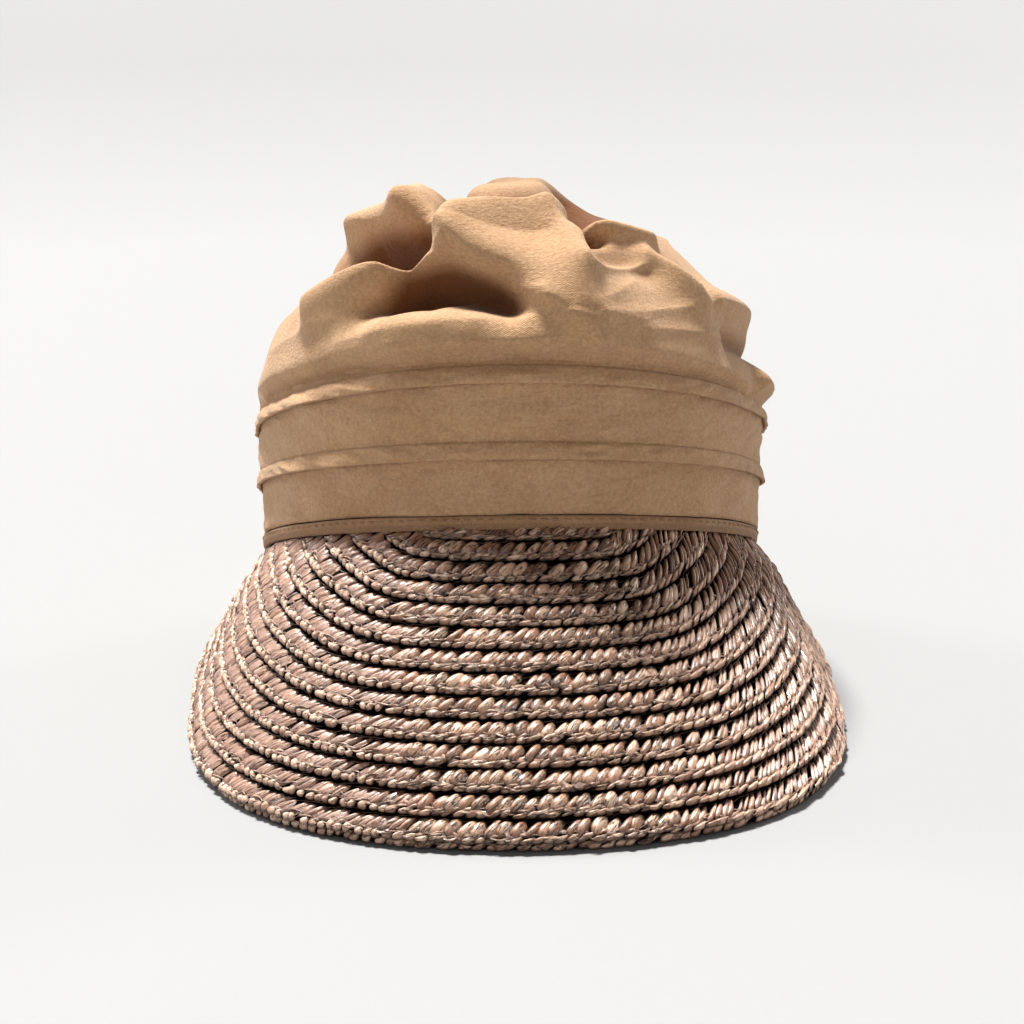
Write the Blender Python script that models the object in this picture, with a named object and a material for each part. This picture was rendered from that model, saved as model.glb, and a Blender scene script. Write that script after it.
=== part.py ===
# Straw visor: a soft cloth cap with two stitched tucks and a front brim of lapped straw plait.
# It stands as it was put down, on the front edge of its brim and the back of its hem.
# Front is -Y, the wearer's left is +X, and the table is z = 0. Lengths are metres, angles degrees.
import math

import bpy
import numpy as np
from mathutils import Matrix

# Driving dimensions of the cap
HEAD_WIDTH = 0.165
HEAD_LENGTH = 0.187
HEM_FRONT_RISE = 0.0713
HEM_SIDE_RISE = 0.0396
HEM_BACK_RISE = 0.0000
CROWN_HEIGHT = 0.1651
CLOTH_WALL = 0.0018
TUCK_REACH = 0.0012
BINDING_HEIGHT = 0.0032
BINDING_WALL = 0.0026
BINDING_DROP = 0.0011

# Driving dimensions of the brim
BRIM_REACH = 0.1605
BRIM_HALF_SPAN = 0.0992
BRIM_END_ANGLE = 118.0
BRIM_SEAT = 0.0022
BRIM_SWELL = 0.0016
BRIM_EDGE_RISE = 0.0011
ROW_PITCH = 0.0071
ROW_OVERLAP = 0.0018
ROW_WALL = 0.0014
ROW_LEAST_WIDTH = 0.0013
HEM_FADE = 0.0080
UNDERLAY_WIDTH = 0.0066
UNDERLAY_WALL = 0.0012
UNDERLAY_INSET = 0.0004

# Clearance between neighbouring pieces
CLEARANCE = 0.0003

# Shapes of sections, as shares: thickness of a row's upper edge, reach of a tuck at its stitched
# top, steepness of the folds' sides
ROW_TAPER = 0.85
TUCK_TOP_SHARE = 0.35
TUCK_EDGE_SHARE = 0.003
FOLD_POWER = 1.8

# Steps of the surfaces
CROWN_STEPS_ROUND = 70
CROWN_STEPS_UP = 24
CROWN_FRONT_PULL = 0.30
CROWN_TOP_SHARE = 0.985
CROWN_CROWDING = 0.85
FOLD_STEPS = 9
BINDING_STEPS = 64
BRIM_SCAN_STEPS = 237
BRIM_SCAN_ACROSS = 61
ROW_STATION_STEP = 6

# Rings of the crown from hem to top. Heights are shares of CROWN_HEIGHT above the hem, 0 at the
# hem and 1 at the top, widths are shares of half HEAD_WIDTH, reaches are shares of half HEAD_LENGTH.
CROWN_RINGS = [
    # at, front rise, side rise, back rise, half width, front reach, back reach
    (0.00, 0.000, 0.000, 0.000, 1.000, 0.995, 0.995),
    (0.10, 0.205, 0.150, 0.135, 1.004, 0.990, 1.025),
    (0.21, 0.445, 0.300, 0.255, 1.006, 0.975, 1.050),
    (0.29, 0.575, 0.410, 0.370, 0.990, 0.940, 1.065),
    (0.40, 0.700, 0.550, 0.490, 0.930, 0.870, 1.020),
    (0.52, 0.815, 0.690, 0.630, 0.770, 0.770, 0.880),
    (0.65, 0.905, 0.830, 0.760, 0.560, 0.640, 0.660),
    (0.78, 0.965, 0.920, 0.870, 0.360, 0.480, 0.430),
    (0.90, 0.995, 0.975, 0.950, 0.190, 0.300, 0.160),
    (1.00, 1.000, 0.998, 0.995, 0.020, 0.105, -0.060),
]

# Tucks as shares of the way up the crown: where the free lower edge and the stitched top lie
TUCKS = [
    # lower edge, top
    (0.088, 0.112),
    (0.196, 0.224),
]

# Folds of the crown. Each runs from one place to another as a ridge, or as a hollow where its height
# is negative. Its two widths, on the left and the right of its way as seen from outside, and its
# height are shares of HEAD_WIDTH.
FOLDS = [
    # from angle, from share, to angle, to share, left width, right width, height
    (-20.0, 0.555, 9.0, 0.325, 0.080, 0.020, 0.034),
    (-28.0, 0.455, -2.0, 0.365, 0.040, 0.040, -0.066),
    (-33.0, 0.375, -20.0, 0.375, 0.028, 0.028, -0.030),
    (-50.0, 0.400, -24.0, 0.500, 0.022, 0.050, 0.042),
    (-54.0, 0.550, -34.0, 0.580, 0.046, 0.038, -0.100),
    (-74.0, 0.620, -44.0, 0.640, 0.060, 0.020, 0.050),
    (-44.0, 0.640, -21.0, 0.560, 0.070, 0.018, 0.032),
    (-18.0, 0.640, 8.0, 0.670, 0.070, 0.050, 0.010),
    (13.0, 0.640, 12.5, 0.400, 0.090, 0.030, 0.024),
    (20.0, 0.480, 34.0, 0.490, 0.040, 0.040, -0.036),
    (20.0, 0.560, 25.0, 0.575, 0.018, 0.018, -0.050),
    (20.0, 0.610, 60.0, 0.860, 0.036, 0.022, -0.046),
    (27.0, 0.610, 42.0, 0.560, 0.040, 0.018, 0.034),
    (-21.0, 0.690, -70.0, 0.900, 0.032, 0.032, -0.066),
    (-70.0, 0.900, -140.0, 0.800, 0.036, 0.036, -0.050),
    (-44.0, 0.760, -110.0, 0.780, 0.055, 0.050, 0.032),
    (-6.0, 0.820, 80.0, 0.960, 0.060, 0.060, 0.022),
    (38.0, 0.520, 46.0, 0.400, 0.018, 0.040, 0.022),
    (52.0, 0.405, 92.0, 0.420, 0.040, 0.022, 0.030),
    (54.0, 0.325, 98.0, 0.335, 0.024, 0.024, -0.026),
    (70.0, 0.262, 100.0, 0.270, 0.030, 0.020, 0.034),
    (35.0, 0.720, 110.0, 0.860, 0.160, 0.110, -0.040),
    (-30.0, 0.320, 14.0, 0.310, 0.030, 0.030, 0.010),
    (-80.0, 0.275, 16.0, 0.268, 0.040, 0.030, 0.006),
    (-60.0, 0.238, 10.0, 0.244, 0.022, 0.020, -0.006),
    (-78.0, 0.490, -105.0, 0.540, 0.040, 0.050, -0.044),
    (-150.0, 0.420, -120.0, 0.580, 0.050, 0.050, -0.030),
    (120.0, 0.400, 155.0, 0.560, 0.050, 0.050, -0.030),
    (175.0, 0.480, -170.0, 0.700, 0.050, 0.050, 0.022),
]

# Outer edge of the brim, from the middle of the front to where it meets the hem. Sideways places
# are shares of BRIM_HALF_SPAN, forward ones of BRIM_REACH, rises of HEM_FRONT_RISE.
EDGE_PLACES = [
    # share of BRIM_END_ANGLE, sideways, forward, rise above BRIM_EDGE_RISE
    (0.0000, 0.000, 1.000, 0.000),
    (0.1667, 0.385, 0.966, 0.000),
    (0.3333, 0.700, 0.862, 0.000),
    (0.5000, 0.905, 0.680, 0.000),
    (0.6667, 0.995, 0.415, 0.010),
    (0.8333, 0.985, 0.050, 0.130),
]

STRAW_COLOUR = (0.36, 0.21, 0.14, 1.0)
STRAW_SHADE_COLOUR = (0.25, 0.14, 0.09, 1.0)
CLOTH_COLOUR = (0.50, 0.31, 0.18, 1.0)
BINDING_COLOUR = (0.44, 0.27, 0.16, 1.0)


def clear_scene():
    for thing in list(bpy.data.objects):
        bpy.data.objects.remove(thing, do_unlink=True)


def make_material(name, colour, roughness):
    material = bpy.data.materials.new(name)
    material.use_nodes = True
    shader = material.node_tree.nodes["Principled BSDF"]
    shader.inputs["Base Color"].default_value = colour
    shader.inputs["Roughness"].default_value = roughness
    shader.inputs["Metallic"].default_value = 0.0
    return material


def add_solid(name, vertices, faces, material):
    mesh = bpy.data.meshes.new(name)
    mesh.from_pydata([tuple(place) for place in vertices], [], faces)
    mesh.materials.append(material)
    mesh.update()
    mesh.shade_smooth()
    mesh.set_sharp_from_angle(angle=math.radians(40.0))
    solid = bpy.data.objects.new(name, mesh)
    bpy.context.scene.collection.objects.link(solid)
    return solid


# A smooth curve through the places of a table: cubic pieces whose slope at each place is that of
# the line between its two neighbours
def smooth_through(places, values, at):
    places = np.asarray(places, float)
    values = np.asarray(values, float)
    slopes = np.gradient(values, places)
    at = np.clip(at, places[0], places[-1])
    low = np.clip(np.searchsorted(places, at, side="right") - 1, 0, len(places) - 2)
    span = places[low + 1] - places[low]
    t = (at - places[low]) / span
    start = (2 * t**3 - 3 * t**2 + 1) * values[low] + (t**3 - 2 * t**2 + t) * span * slopes[low]
    end = (3 * t**2 - 2 * t**3) * values[low + 1] + (t**3 - t**2) * span * slopes[low + 1]
    return start + end


def unit(vectors):
    return vectors / np.linalg.norm(vectors, axis=-1, keepdims=True)


# Smooth step from 0 to 1 between two values
def ramp(low, high, value):
    t = np.clip((value - low) / (high - low), 0.0, 1.0)
    return t * t * (3.0 - 2.0 * t)


# Height of a ring at an angle: the front, side and back rises joined by cosines
def round_height(angle, front, side, back):
    cosine = np.cos(angle)
    return side * (1 - cosine**2) + cosine**2 * (front + back) / 2 + cosine * (front - back) / 2


# Bottom edge of the band: an oval, high in front and down on the table behind
def hem_place(angle):
    x = HEAD_WIDTH / 2 * np.sin(angle)
    y = -HEAD_LENGTH / 2 * np.cos(angle)
    z = round_height(angle, HEM_FRONT_RISE, HEM_SIDE_RISE, HEM_BACK_RISE)
    return np.stack([x, y, z], axis=-1)


# Level direction away from the middle of the head
def outward_at(angle):
    return np.stack([np.sin(angle), -np.cos(angle), 0 * angle], axis=-1)


# The crown without folds: ovals whose front, side and back rises follow CROWN_RINGS
def crown_base(angle, share):
    table = np.array(CROWN_RINGS)
    columns = [smooth_through(table[:, 0], table[:, i], share) for i in range(1, 7)]
    front_rise, side_rise, back_rise, half_width, front_reach, back_reach = columns
    front = HEM_FRONT_RISE + front_rise * (CROWN_HEIGHT - HEM_FRONT_RISE)
    side = HEM_SIDE_RISE + side_rise * (CROWN_HEIGHT - HEM_SIDE_RISE)
    back = HEM_BACK_RISE + back_rise * (CROWN_HEIGHT - HEM_BACK_RISE)
    cosine = np.cos(angle)
    x = half_width * HEAD_WIDTH / 2 * np.sin(angle)
    middle = (back_reach - front_reach) / 2 * HEAD_LENGTH / 2
    y = middle - (back_reach + front_reach) / 2 * HEAD_LENGTH / 2 * cosine
    z = round_height(angle, front, side, back)
    lift = BINDING_HEIGHT + CLEARANCE
    return np.stack([x, y, z + lift * (1.0 - share)], axis=-1)


# Outward direction of a grid of places: the cross product of its two directions of travel
def grid_normals(points):
    round_step = np.roll(points, -1, axis=0) - np.roll(points, 1, axis=0)
    up_step = np.gradient(points, axis=1)
    return unit(np.cross(round_step, up_step))


# The nearest place on a run of short straight pieces, from each of many places: the gap between
# the two and the direction of that piece
def nearest_on_run(points, run):
    starts = run[:-1]
    steps = run[1:] - run[:-1]
    flat = points.reshape(-1, 3)
    along = ((flat[:, None] - starts) * steps).sum(axis=2) / (steps**2).sum(axis=1)
    gaps = flat[:, None] - starts - np.clip(along, 0.0, 1.0)[..., None] * steps
    nearest = (gaps**2).sum(axis=2).argmin(axis=1)
    gap = gaps[np.arange(len(flat)), nearest]
    return gap.reshape(points.shape), unit(steps)[nearest].reshape(points.shape)


# Height of the folds over the plain crown: each fold is a bell across its line, as wide on each
# side as its row says
def fold_height(points, normals):
    height = np.zeros(points.shape[:-1])
    for from_angle, from_share, to_angle, to_share, left_width, right_width, fold in FOLDS:
        turn = to_angle - from_angle
        if abs(turn) > 180.0:
            turn -= math.copysign(360.0, turn)
        steps = np.linspace(0.0, 1.0, FOLD_STEPS)
        angles = np.radians(from_angle + turn * steps)
        gap, way = nearest_on_run(points, crown_base(angles, from_share + (to_share - from_share) * steps))
        away = np.maximum(np.linalg.norm(gap, axis=-1), 1e-9)
        leftward = (np.cross(normals, way) * gap).sum(axis=-1) / away
        width = (left_width * (1 + leftward) + right_width * (1 - leftward)) / 2
        height += fold * HEAD_WIDTH * np.exp(-(away / (width * HEAD_WIDTH))**FOLD_POWER)
    return height


# Shares up the crown for its rings, with three close rings at each tuck
def crown_shares():
    plain = CROWN_TOP_SHARE * np.linspace(0.0, 1.0, CROWN_STEPS_UP)**CROWN_CROWDING
    shares = []
    for lower, top in TUCKS:
        shares += [lower - TUCK_EDGE_SHARE, lower, top, top + TUCK_EDGE_SHARE]
    apart = 4 * TUCK_EDGE_SHARE
    clear_of_tucks = [share for share in plain if min(abs(share - s) for s in shares) > apart]
    return np.array(sorted(clear_of_tucks + shares))


# Reach of the tucks beyond the crown: full at the free lower edge and none at the stitched top
def tuck_height(shares):
    height = np.zeros(len(shares))
    for lower, top in TUCKS:
        inside = (shares >= lower - 1e-6) & (shares <= top + 1e-6)
        rise = (top - shares) / (top - lower)
        height[inside] = TUCK_REACH * (TUCK_TOP_SHARE + (1 - TUCK_TOP_SHARE) * rise[inside])
    return height


def make_crown(material):
    even = np.linspace(0.0, 2 * math.pi, CROWN_STEPS_ROUND, endpoint=False)
    angles = even - CROWN_FRONT_PULL * np.sin(even)
    shares = crown_shares()
    base = crown_base(*np.meshgrid(angles, shares, indexing="ij"))
    normals = grid_normals(base)
    middle = base + normals * fold_height(base, normals)[..., None]
    normals = grid_normals(middle)
    outer = middle + normals * tuck_height(shares)[None, :, None]
    inner = middle - normals * CLOTH_WALL
    inner[:, 0, 2] = outer[:, 0, 2]
    vertices, faces = shell_of(outer, inner)
    return add_solid("crown", vertices, faces, material)


# Closed shell between two grids that run round and up: walls joined below, each with a centre
# place above
def shell_of(outer, inner):
    count_round, count_up = outer.shape[:2]
    top_outer = outer[:, -1].mean(axis=0)
    top_inner = inner[:, -1].mean(axis=0)
    vertices = np.concatenate([outer.reshape(-1, 3), inner.reshape(-1, 3), [top_outer, top_inner]])
    second = count_round * count_up
    faces = []
    for i in range(count_round):
        j = (i + 1) % count_round
        for k in range(count_up - 1):
            a, b = i * count_up + k, j * count_up + k
            faces.append((a, b, b + 1, a + 1))
            faces.append((second + a, second + a + 1, second + b + 1, second + b))
        last_a, last_b = i * count_up + count_up - 1, j * count_up + count_up - 1
        faces.append((last_a, last_b, 2 * second))
        faces.append((second + last_b, second + last_a, 2 * second + 1))
        faces.append((j * count_up, i * count_up, second + i * count_up, second + j * count_up))
    return vertices, faces


# Closed ring from a grid of sections: round the object first, round each section second
def ring_faces(count_round, count_section, closed):
    faces = []
    for i in range(count_round if closed else count_round - 1):
        j = (i + 1) % count_round
        for k in range(count_section):
            m = (k + 1) % count_section
            faces.append((i * count_section + k, j * count_section + k,
                          j * count_section + m, i * count_section + m))
    if not closed:
        faces.append(tuple(range(count_section)))
        last = (count_round - 1) * count_section
        faces.append(tuple(last + k for k in reversed(range(count_section))))
    return faces


# Bound edge of the hem: a low ring under the crown, flat where it rests on the table behind
def make_binding(material):
    angles = np.linspace(0.0, 2 * math.pi, BINDING_STEPS, endpoint=False)
    hem = hem_place(angles)
    hem[:, 2] = hem[:, 2] - BINDING_DROP
    outward = outward_at(angles)
    up = np.array([0.0, 0.0, BINDING_HEIGHT])
    half = (BINDING_WALL - CLOTH_WALL) / 2
    outside = hem + outward * half
    inside = hem - outward * (CLOTH_WALL + half)
    top_trim = np.array([0.0, 0.0, BINDING_DROP])
    section = np.stack([outside, outside + up + top_trim, inside + up + top_trim, inside], axis=1)
    section[:, [0, 3], 2] = np.maximum(section[:, [0, 3], 2], 0.0)
    faces = ring_faces(BINDING_STEPS, 4, True)
    return add_solid("edge_binding", section.reshape(-1, 3), faces, material)


# Outer edge of the brim, through EDGE_PLACES, mirrored, and up to the hem at its ends
def edge_place(angle):
    end_angle = np.radians(BRIM_END_ANGLE)
    end = hem_place(end_angle) - outward_at(end_angle) * BRIM_SEAT
    table = np.array(EDGE_PLACES)
    share = np.append(table[:, 0], 1.0)
    sideways = np.append(table[:, 1] * BRIM_HALF_SPAN, end[0])
    forward = np.append(-table[:, 2] * BRIM_REACH, end[1])
    rise = np.append(table[:, 3] * HEM_FRONT_RISE + BRIM_EDGE_RISE, end[2])
    both = np.concatenate([-share[:0:-1], share])
    at = angle / math.radians(BRIM_END_ANGLE)
    x = smooth_through(both, np.concatenate([-sideways[:0:-1], sideways]), at)
    y = smooth_through(both, np.concatenate([forward[:0:-1], forward]), at)
    z = smooth_through(both, np.concatenate([rise[:0:-1], rise]), at)
    return np.stack([x, y, z], axis=-1)


# The brim's smooth middle surface: straight lines from hem to edge with a slight swell between
class Brim:
    def __init__(self):
        end = math.radians(BRIM_END_ANGLE)
        self.angles = np.linspace(-end, end, BRIM_SCAN_STEPS)
        self.across = np.linspace(0.0, 1.0, BRIM_SCAN_ACROSS)
        out = outward_at(self.angles)
        hem = hem_place(self.angles) - out * BRIM_SEAT
        hem[:, 2] = hem[:, 2] - BINDING_DROP
        edge = edge_place(self.angles)
        line = edge - hem
        length = np.linalg.norm(line, axis=1)
        swell = 4 * self.across * (1 - self.across)
        swell = swell[None, :] * (BRIM_SWELL * length / length.max())[:, None]
        self.points = hem[:, None] + self.across[None, :, None] * line[:, None]
        self.points = self.points + swell[..., None] * out[:, None]
        self.inland = np.linalg.norm(nearest_on_run(self.points, edge)[0], axis=-1)
        along = np.gradient(self.points, axis=0)
        across = np.gradient(self.points, axis=1)
        self.normals = unit(np.cross(along, -across) + 1e-12 * out[:, None])
        self.normals[[0, -1]] = self.normals[[2, -3]]
        self.hem_inland = self.inland[:, 0]

    # Place and direction at an angle, a distance inland from the outer edge
    def at(self, angle, inland):
        column = int(np.argmin(np.abs(self.angles - angle)))
        known = self.inland[column, ::-1]
        place = [np.interp(inland, known, self.points[column, ::-1, i]) for i in range(3)]
        normal = [np.interp(inland, known, self.normals[column, ::-1, i]) for i in range(3)]
        return np.array(place), unit(np.array(normal))

    # Distance from the edge to the hem at an angle
    def depth(self, angle):
        return float(np.interp(angle, self.angles, self.hem_inland))

    # Number of rows that there is room for between the edge and the hem
    def row_count(self):
        room = self.hem_inland.max() - ROW_WALL - CLEARANCE - ROW_LEAST_WIDTH
        return 1 + math.floor(room / ROW_PITCH)

    # Angles of a row whose lower edge lies inland by a distance: stations that all rows share, and
    # an end on each side where the brim is only that deep
    def row_angles(self, inland):
        middle = BRIM_SCAN_STEPS // 2
        deep = np.flatnonzero(self.hem_inland > inland)
        first, last = deep[0], deep[-1]
        stations = [i for i in range(first + 2, last - 1) if (i - middle) % ROW_STATION_STEP == 0]
        return self.angles[[first] + stations + [last]]


# One plait row: a strip that lies on the next lower row and is tucked under the next higher one.
# Near the hem its lift and its lap fade out, so that it ends flat under the binding.
def make_row(brim, number, material):
    lower = (number - 1) * ROW_PITCH
    full_width = ROW_PITCH + ROW_OVERLAP
    lift = ROW_WALL + 3 * CLEARANCE
    hem_clear = ROW_WALL + CLEARANCE
    row_gap = 1.5 * CLEARANCE
    sections = []
    for angle in brim.row_angles(lower + hem_clear + ROW_LEAST_WIDTH):
        depth = brim.depth(angle)
        room = depth - lower - ROW_PITCH
        lap = ROW_OVERLAP * ramp(1.25 * HEM_FADE, 1.75 * HEM_FADE, room)
        lap -= row_gap * (1 - ramp(HEM_FADE, 1.25 * HEM_FADE, room))
        upper = min(lower + ROW_PITCH + lap, depth - hem_clear)
        section = []
        for inland, above in ((lower, 0), (lower, 1), (upper, ROW_TAPER), (upper, 0)):
            place, normal = brim.at(angle, inland)
            fade = ramp(0.0, HEM_FADE, depth - inland)
            slope = 1.0 - (inland - lower) / full_width
            height = lift * fade * slope + above * ROW_WALL
            section.append(place + normal * height)
        sections.append(section)
    grid = np.array(sections)
    faces = ring_faces(len(sections), 4, False)
    return add_solid(f"braid_row_{number:02d}", grid.reshape(-1, 3), faces, material)


# Second plait behind the edge, on the table, a little inside the outermost row
def make_underlay(brim, material):
    sections = []
    for angle in brim.row_angles(UNDERLAY_WIDTH + UNDERLAY_WALL + CLEARANCE):
        section = []
        for inland, below in ((0.0, 1), (0.0, 0), (UNDERLAY_WIDTH, 0), (UNDERLAY_WIDTH, 1)):
            place, normal = brim.at(angle, inland)
            slip = UNDERLAY_INSET + below * UNDERLAY_WALL
            place = place - normal * slip
            place[2] = max(place[2], 0.0)
            section.append(place)
        sections.append(section)
    grid = np.array(sections)
    faces = ring_faces(len(sections), 4, False)
    return add_solid("edge_underlay", grid.reshape(-1, 3), faces, material)


# Moves all the pieces together so that the middle of their box stands over the origin
def stand_over_origin(solids):
    places = np.array([vertex.co for solid in solids for vertex in solid.data.vertices])
    middle = (places.min(axis=0) + places.max(axis=0)) / 2
    shift = Matrix.Translation((-middle[0], -middle[1], 0.0))
    for solid in solids:
        solid.data.transform(shift)


def main():
    clear_scene()
    cloth = make_material("cloth", CLOTH_COLOUR, 0.9)
    bound = make_material("binding_cloth", BINDING_COLOUR, 0.85)
    straw = make_material("straw", STRAW_COLOUR, 0.45)
    straw_shade = make_material("straw_underlay", STRAW_SHADE_COLOUR, 0.5)
    brim = Brim()
    solids = [make_crown(cloth), make_binding(bound), make_underlay(brim, straw_shade)]
    for number in range(1, brim.row_count() + 1):
        solids.append(make_row(brim, number, straw))
    stand_over_origin(solids)


main()
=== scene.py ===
import math

import bpy
import numpy as np
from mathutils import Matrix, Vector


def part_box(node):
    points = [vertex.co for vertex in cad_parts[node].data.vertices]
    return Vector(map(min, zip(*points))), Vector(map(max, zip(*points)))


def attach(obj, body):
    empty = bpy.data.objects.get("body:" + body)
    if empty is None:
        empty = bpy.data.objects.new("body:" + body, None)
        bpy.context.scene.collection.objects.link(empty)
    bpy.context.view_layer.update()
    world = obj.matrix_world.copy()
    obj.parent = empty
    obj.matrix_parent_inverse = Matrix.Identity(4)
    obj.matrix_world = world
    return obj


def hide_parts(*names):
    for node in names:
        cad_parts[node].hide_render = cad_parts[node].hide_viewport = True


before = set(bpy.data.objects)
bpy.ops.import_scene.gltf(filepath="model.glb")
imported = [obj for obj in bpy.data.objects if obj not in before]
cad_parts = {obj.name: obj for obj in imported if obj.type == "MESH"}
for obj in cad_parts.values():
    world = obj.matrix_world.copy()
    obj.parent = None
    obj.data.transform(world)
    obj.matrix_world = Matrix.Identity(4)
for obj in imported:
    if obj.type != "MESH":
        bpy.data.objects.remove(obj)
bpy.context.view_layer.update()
print("frame loaded")

# Sizes read from the frame, metres. The hem's oval stands where the binding's box is.
wall = {"cloth": 0.0018, "binding": 0.0026, "bindingHeight": 0.0032, "bindingDrop": 0.0011}
hemLow, hemHigh = [np.array(corner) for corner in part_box("edge_binding")]
hemMiddleY = (hemLow[1] + hemHigh[1]) / 2
headWidth = hemHigh[0] - hemLow[0] - (wall["binding"] - wall["cloth"])
headLength = hemHigh[1] - hemLow[1] - (wall["binding"] - wall["cloth"])
hemRise = {"front": hemHigh[2] - wall["bindingHeight"], "side": 0.0396, "back": 0.0}
crownHeight = 0.1651
clearance = 0.0003


# ---- general helpers
def smoothThrough(places, values, at):
    # cubic pieces between table places, each slope that of the line between the two neighbours
    places = np.asarray(places, float)
    values = np.asarray(values, float)
    slopes = np.gradient(values, places)
    at = np.clip(at, places[0], places[-1])
    low = np.clip(np.searchsorted(places, at, side="right") - 1, 0, len(places) - 2)
    span = places[low + 1] - places[low]
    t = (at - places[low]) / span
    start = (2 * t**3 - 3 * t**2 + 1) * values[low] + (t**3 - 2 * t**2 + t) * span * slopes[low]
    end = (3 * t**2 - 2 * t**3) * values[low + 1] + (t**3 - t**2) * span * slopes[low + 1]
    return start + end


def unitVectors(vectors):
    return vectors / np.maximum(np.linalg.norm(vectors, axis=-1, keepdims=True), 1e-12)


def softStep(low, high, value):
    t = np.clip((value - low) / (high - low), 0.0, 1.0)
    return t * t * (3.0 - 2.0 * t)


def softNoise(points, cell, seed):
    # values between -1 and 1 at the corners of a grid of cells, joined by smooth steps
    table = np.random.RandomState(seed).uniform(-1.0, 1.0, (32, 32, 32))
    scaled = points / cell
    base = np.floor(scaled).astype(int)
    t = scaled - base
    t = t * t * (3.0 - 2.0 * t)
    total = 0.0
    for i in (0, 1):
        for j in (0, 1):
            for k in (0, 1):
                corner = table[(base[..., 0] + i) % 32, (base[..., 1] + j) % 32, (base[..., 2] + k) % 32]
                weight = (t[..., 0] if i else 1 - t[..., 0]) * (t[..., 1] if j else 1 - t[..., 1])
                total = total + corner * weight * (t[..., 2] if k else 1 - t[..., 2])
    return total


def nearestOnRun(points, run):
    # gap from the nearest place on a run of straight pieces to each place, and that piece's
    # direction, in blocks to spare memory
    starts = run[:-1]
    steps = run[1:] - run[:-1]
    lengths = np.maximum((steps**2).sum(axis=1), 1e-18)
    ways = steps / np.sqrt(lengths)[:, None]
    flat = points.reshape(-1, 3)
    gaps, nearWays = np.empty_like(flat), np.empty_like(flat)
    block = max(1, 4000000 // len(starts))
    for first in range(0, len(flat), block):
        part = flat[first:first + block]
        along = np.clip(((part[:, None] - starts) * steps).sum(axis=2) / lengths, 0.0, 1.0)
        gap = part[:, None] - (starts + along[..., None] * steps)
        nearest = (gap**2).sum(axis=2).argmin(axis=1)
        gaps[first:first + block] = gap[np.arange(len(part)), nearest]
        nearWays[first:first + block] = ways[nearest]
    return gaps.reshape(points.shape), nearWays.reshape(points.shape)


def gridFaces(countA, countB, closedA=False, closedB=False, offset=0):
    # quads of a grid whose first direction, crossed with the second, points outwards
    a = np.arange(countA if closedA else countA - 1)
    b = np.arange(countB if closedB else countB - 1)
    a, b = [side.ravel() for side in np.meshgrid(a, b, indexing="ij")]
    nextA, nextB = (a + 1) % countA, (b + 1) % countB
    faces = [a * countB + b, nextA * countB + b, nextA * countB + nextB, a * countB + nextB]
    return np.stack(faces, axis=1) + offset


def addMesh(name, vertices, faces, material, floats=None, uv=None, extra=(), around=None):
    # faces is an array of quads; extra holds further faces as tuples; uv is one pair a vertex;
    # around is the length at which u closes on itself, and then each extra face keeps one pair
    mesh = bpy.data.meshes.new(name)
    allFaces = faces.tolist() + [tuple(face) for face in extra]
    mesh.from_pydata(np.asarray(vertices, float).reshape(-1, 3).tolist(), [], allFaces)
    mesh.materials.append(material)
    for key, values in (floats or {}).items():
        layer = mesh.attributes.new(key, "FLOAT", "POINT")
        layer.data.foreach_set("value", np.asarray(values, np.float32).ravel())
    if uv is not None:
        layer = mesh.uv_layers.new(name="UVMap")
        corners = np.empty(len(mesh.loops), dtype=np.int32)
        mesh.loops.foreach_get("vertex_index", corners)
        pairs = np.asarray(uv, np.float32).reshape(-1, 2)[corners]
        if around is not None:
            quads = pairs[:4 * len(faces)].reshape(-1, 4, 2)
            far = quads[..., 0].max(axis=1, keepdims=True) - quads[..., 0] > around / 2
            quads[..., 0] += far * around
            spokes = pairs[4 * len(faces):].reshape(-1, 3, 2)
            spokes[:, 1] = spokes[:, 0]
            spokes[:, 2] = spokes[:, 0]
        layer.data.foreach_set("uv", pairs.ravel())
    mesh.shade_smooth()
    mesh.update()
    thing = bpy.data.objects.new(name, mesh)
    bpy.context.scene.collection.objects.link(thing)
    return thing


# ---- shader maths
class Wire:
    def __init__(self, tree, socket):
        self.tree = tree
        self.socket = socket

    def calc(self, operation, first, second=None):
        node = self.tree.nodes.new("ShaderNodeMath")
        node.operation = operation
        for slot, value in zip(node.inputs, (first, second)):
            plug(self.tree, slot, value)
        return Wire(self.tree, node.outputs[0])

    def __add__(self, other):
        return self.calc("ADD", self, other)

    def __radd__(self, other):
        return self.calc("ADD", other, self)

    def __sub__(self, other):
        return self.calc("SUBTRACT", self, other)

    def __mul__(self, other):
        return self.calc("MULTIPLY", self, other)

    def sine(self):
        return self.calc("SINE", self)

    def limited(self):
        node = self.tree.nodes.new("ShaderNodeClamp")
        plug(self.tree, node.inputs[0], self)
        return Wire(self.tree, node.outputs[0])


def plug(tree, slot, value):
    if isinstance(value, Wire):
        tree.links.new(value.socket, slot)
    elif value is not None:
        slot.default_value = value


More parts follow.
